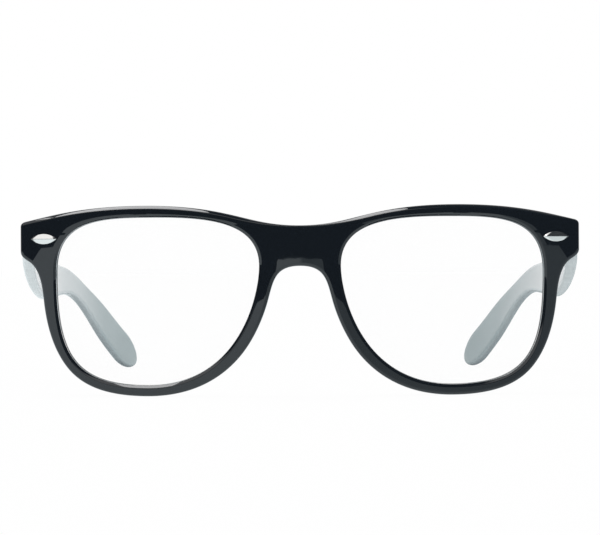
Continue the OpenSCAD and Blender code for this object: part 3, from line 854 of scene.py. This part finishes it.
def temple_plastic(colours):
    """Milky plastic, a little cloudy inside, greyer towards the tips and below, and mottled grey outside;
    paler near the hinges with a painted grazing reflection, and darker below with painted shade.
    """
    material, shader, values = moulded("temple_plastic", colours.temple, gloss=0.08, smear=0.12, wave=0.2,
                                       ior=1.5, subsurface_weight=0.1, subsurface_scale=0.6 * MM,
                                       subsurface_radius=(0.9, 1.0, 1.0))
    place, facing = shader.place(), shader.place("Normal")
    outwards = shader.sign(shader.part(place, "X")) * shader.part(facing, "X")
    downwards = -shader.part(facing, "Z")
    cloud = shader.noise(place, scale=28, detail=2)
    speckle = shader.noise(place, scale=300, detail=2)
    # Painted reflection: the inner sides are pale near the hinges, as grazing glare would make them, and fade
    # to grey towards the tips.
    back = shader.rise(shader.part(place, "Y") + cloud * CLOUD_REACH, *PAINTED_GLARE_FADE)
    inside = shader.blend(back, (*colours.temple, 1), (*colours.tip, 1))
    dark = [0.8 * part for part in colours.outside]
    pale = [1.2 * part for part in colours.outside]
    outside = shader.blend(speckle, (*dark, 1), (*pale, 1))
    # The outer sides take their mottled grey; downward faces take it too, as painted shade.
    outer_or_painted_shade = shader.rise(shader.most(outwards, downwards), low=0.35, high=0.85)
    # Painted shade: downward faces towards the tips turn to the darker grey below.
    down = shader.rise(downwards, low=0.3, high=0.85)
    sides = shader.blend(outer_or_painted_shade, inside, outside)
    values["Base Color"] = shader.blend(down * back, sides, (*colours.painted_under_shade, 1))
    close(shader, values)
    return material


def lens_clear(colours):
    """Clear lenses, of which only a trace of gloss is left to see."""
    material, shader, values = finish("lens_clear", colours.lens, roughness=0.01, ior=1.5, alpha=0.01)
    close(shader, values)
    return material


# How much rougher the grain and the larger patches make the metal.
GRAIN_ROUGH, PATCH_ROUGH = 0.06, 0.05


def metal(name, colour, gloss, grain_size, depth):
    """Metal with a fine grain that runs along the object's length."""
    material, shader, values = finish(name, colour, metallic=1.0)
    place = shader.place()
    grain = shader.noise(shader.stretch(place, grain_size), scale=4, detail=4)
    patches = shader.noise(place, scale=700, detail=2)
    values["Roughness"] = gloss + grain * GRAIN_ROUGH + patches * PATCH_ROUGH
    values["Normal"] = shader.bump(grain, strength=0.15, distance=depth)
    close(shader, values)
    return material


class EYEWEAR_OT_front(bpy.types.Operator):
    """Models the front with its rims, brow, bridge, nose pads and end pieces"""

    bl_idname = "eyewear.front"
    bl_label = "Front"

    def execute(self, context):
        scene = context.scene
        shape = Front(scene.eyewear_front)
        sections = [shape.section(s) for s in shape.stations(scene.eyewear_stage.steps)]
        piece = skin("front_moulding", sections, loop=True)
        clean(piece, mirrored=True)
        install(piece, "frame", "front", front_plastic(scene.eyewear_finish))
        return {"FINISHED"}


class EYEWEAR_OT_lenses(bpy.types.Operator):
    """Models the clear lenses with their bevelled edges"""

    bl_idname = "eyewear.lenses"
    bl_label = "Lenses"

    # The rings' shares of the way from the middle to the edge, and the edge's rounding.
    SHARES = (0.12, 0.3, 0.48, 0.66, 0.82, 0.94, 0.995)
    EDGE = 0.08 * MM
    # Points of a ring for each step of the solid.
    STEPS = 2

    def execute(self, context):
        scene = context.scene
        sizes = scene.eyewear_front
        shape = Front(sizes)
        stations = shape.stations(self.STEPS)
        gap, half, bevel = sizes.seat_gap, sizes.lens_t / 2, sizes.groove_w / 2 - sizes.seat_gap
        wall = half - self.EDGE
        edge = [(wall, -gap), (bevel, -gap), (0, sizes.groove_d - 2 * gap), (-bevel, -gap), (-wall, -gap)]
        rings = [shape.lens_ring(stations, q, half, -gap) for q in self.SHARES]
        rings += [shape.lens_ring(stations, 1, depth, grow) for depth, grow in edge]
        rings += [shape.lens_ring(stations, q, -half, -gap) for q in reversed(self.SHARES)]
        glass = lens_clear(scene.eyewear_finish)
        for side, sign in SIDES.items():
            piece = skin("clear_lens_" + side, rings)
            clean(piece)
            if sign < 0:
                flip(piece)
            install(piece, "frame", "lens_" + side, glass)
        return {"FINISHED"}


class EYEWEAR_OT_temples(bpy.types.Operator):
    """Models the temples with their bow, ear bend and rounded tips"""

    bl_idname = "eyewear.temples"
    bl_label = "Temples"

    def execute(self, context):
        scene = context.scene
        shape = Temple(scene.eyewear_temple, Front(scene.eyewear_front))
        rings = shape.rings(scene.eyewear_stage.steps)
        plastic = temple_plastic(scene.eyewear_finish)
        for side, sign in SIDES.items():
            piece = skin("temple_arm_" + side, rings)
            clean(piece)
            if sign < 0:
                flip(piece)
            install(piece, side + "_temple", "temple_" + side, plastic)
        return {"FINISHED"}


class EYEWEAR_OT_metal(bpy.types.Operator):
    """Gives the hinges and the inlays their metal finishes and broken edges"""

    bl_idname = "eyewear.metal"
    bl_label = "Hinges and inlays"

    def execute(self, context):
        colours = context.scene.eyewear_finish
        nickel = metal("hinge_nickel", colours.hinge, gloss=0.22, grain_size=(30, 400, 400), depth=0.01 * MM)
        silver = metal("inlay_silver", colours.inlay, gloss=0.1, grain_size=(60, 500, 900), depth=0.003 * MM)
        for side in SIDES:
            for name in ("front_leaf_", "temple_leaf_", "hinge_screw_", "inlay_"):
                solid = frame["nodes"][name + side]
                solid.data.materials.clear()
                solid.data.materials.append(silver if name == "inlay_" else nickel)
                bevel = solid.modifiers.new("broken edges", "BEVEL")
                bevel.width = 0.06 * MM
                bevel.segments = 2
                bevel.limit_method = "ANGLE"
                bevel.angle_limit = math.radians(25)
                bevel.harden_normals = True
        return {"FINISHED"}


class EYEWEAR_OT_stage(bpy.types.Operator):
    """Sets up the table, the studio lights, the white background and the camera"""

    bl_idname = "eyewear.stage"
    bl_label = "Stage"

    def execute(self, context):
        settings = context.scene.eyewear_stage
        self.table(settings)
        self.world(context.scene, settings)
        self.light(settings)
        self.camera(context.scene, settings)
        context.scene.view_settings.view_transform = "Standard"
        return {"FINISHED"}

    def table(self, settings):
        """A pale table: white to the camera, and in reflections paler on the left than on the right, as
        painted light and shade.
        """
        near, far, wide = front_low.y - settings.table_front, TABLE_FAR, TABLE_WIDE
        mesh = bpy.data.meshes.new("table")
        corners = [(-wide, near, 0), (wide, near, 0), (wide, far, 0), (-wide, far, 0)]
        mesh.from_pydata(corners, [], [(0, 1, 2, 3)])
        table = add_object("table", mesh)
        material = bpy.data.materials.new("pale_table")
        shader = Shader(material)
        camera, glossy, through = shader.rays()
        # Painted light and shade: reflections see the table pale on the left and dark on the right, darkest
        # at grazing angles.
        right = shader.rise(shader.part(shader.place(), "X"), *TABLE_SHADE_TURN)
        grazing = shader.node("ShaderNodeLayerWeight", None, {"Blend": 0.5}, "Facing")
        tone = shader.blend(glossy, WHITE, shader.blend(right * grazing, TABLE_PAINTED_LIT, TABLE_PAINTED_SHADE))
        pale = shader.node("ShaderNodeBsdfDiffuse", None, {"Color": TABLE_PALE})
        bright = shader.node("ShaderNodeEmission", None, {"Color": tone, "Strength": 1})
        share = (camera + glossy + through) * TABLE_GLOW
        surface = shader.node("ShaderNodeMixShader", None, {0: share, 1: pale, 2: bright})
        shader.node("ShaderNodeOutputMaterial", None, {"Surface": surface})
        mesh.materials.append(material)

    def world(self, scene, settings):
        """White to the camera and through the lenses; in reflections dim but for the back and a window."""
        world = bpy.data.worlds.new("studio")
        scene.world = world
        shader = Shader(world)
        camera, glossy, through = shader.rays()
        way = shader.place("Generated")
        behind = shader.rise(shader.part(way, "Y"), *ROOM_BEHIND)
        toward = shader.node("ShaderNodeVectorMath", {"operation": "DOT_PRODUCT"}, {0: way, 1: WINDOW_WAY},
                             "Value")
        window = shader.rise(toward, *WINDOW_EDGE)
        room = shader.blend(shader.most(behind, window), ROOM_DIM, WHITE)
        level = settings.ambient + settings.ambient * ROOM_SLANT * shader.part(way, "X")
        even = shader.node("ShaderNodeCombineColor", None, {name: level for name in ("Red", "Green", "Blue")})
        lit = shader.blend(glossy, even, room)
        seen = shader.blend(camera + through, lit, WHITE)
        background = shader.node("ShaderNodeBackground", None, {"Color": seen, "Strength": 1})
        shader.node("ShaderNodeOutputWorld", None, {"Surface": background})

    def light(self, settings):
        """A large soft light above the object, a little to the camera's left and behind."""
        ceiling = bpy.data.lights.new("ceiling", "SUN")
        ceiling.energy = settings.ceiling
        ceiling.angle = CEILING_SPAN
        light = add_object("ceiling", ceiling)
        light.location = CEILING_AT
        light.rotation_euler = (-light.location).to_track_quat("-Z", "Y").to_euler()

    def camera(self, scene, settings):
        """A long lens, square on to the front."""
        data = bpy.data.cameras.new("camera")
        data.lens = settings.focal
        data.sensor_width = 36
        data.clip_start = 0.01
        camera = add_object("camera", data)
        camera.location = (0, front_low.y - settings.distance, settings.height)
        camera.rotation_euler = (math.pi / 2, settings.roll, 0)
        scene.camera = camera


OPERATORS = (EYEWEAR_OT_front, EYEWEAR_OT_lenses, EYEWEAR_OT_temples, EYEWEAR_OT_metal, EYEWEAR_OT_stage)


class EYEWEAR_PT_panel(bpy.types.Panel):
    """Lists the steps that build the eyeglass frame"""

    bl_label = "Eyeglasses"
    bl_idname = "EYEWEAR_PT_panel"
    bl_space_type = "VIEW_3D"
    bl_region_type = "UI"
    bl_category = "Eyeglasses"

    def draw(self, context):
        for operator in OPERATORS:
            self.layout.operator(operator.bl_idname)
        for key in GROUPS:
            group, box = getattr(context.scene, key), self.layout.box()
            for name in group.bl_rna.properties.keys():
                if name not in ("rna_type", "name"):
                    box.prop(group, name)


GROUPS = {
    "eyewear_front": FrontSizes,
    "eyewear_temple": TempleSizes,
    "eyewear_finish": Finishes,
    "eyewear_stage": StageSettings,
}


def register():
    """Makes the settings, the steps and the panel known to Blender."""
    for name, group in GROUPS.items():
        bpy.utils.register_class(group)
        setattr(bpy.types.Scene, name, PointerProperty(type=group))
    for cls in (*OPERATORS, EYEWEAR_PT_panel):
        bpy.utils.register_class(cls)


def unregister():
    """Takes everything back that register made known."""
    for cls in (EYEWEAR_PT_panel, *reversed(OPERATORS)):
        bpy.utils.unregister_class(cls)
    for name, group in GROUPS.items():
        delattr(bpy.types.Scene, name)
        bpy.utils.unregister_class(group)


def main():
    """Builds the eyeglass frame."""
    register()
    bpy.ops.eyewear.front()
    bpy.ops.eyewear.lenses()
    bpy.ops.eyewear.temples()
    bpy.ops.eyewear.metal()
    bpy.ops.eyewear.stage()


if __name__ == "__main__":
    main()
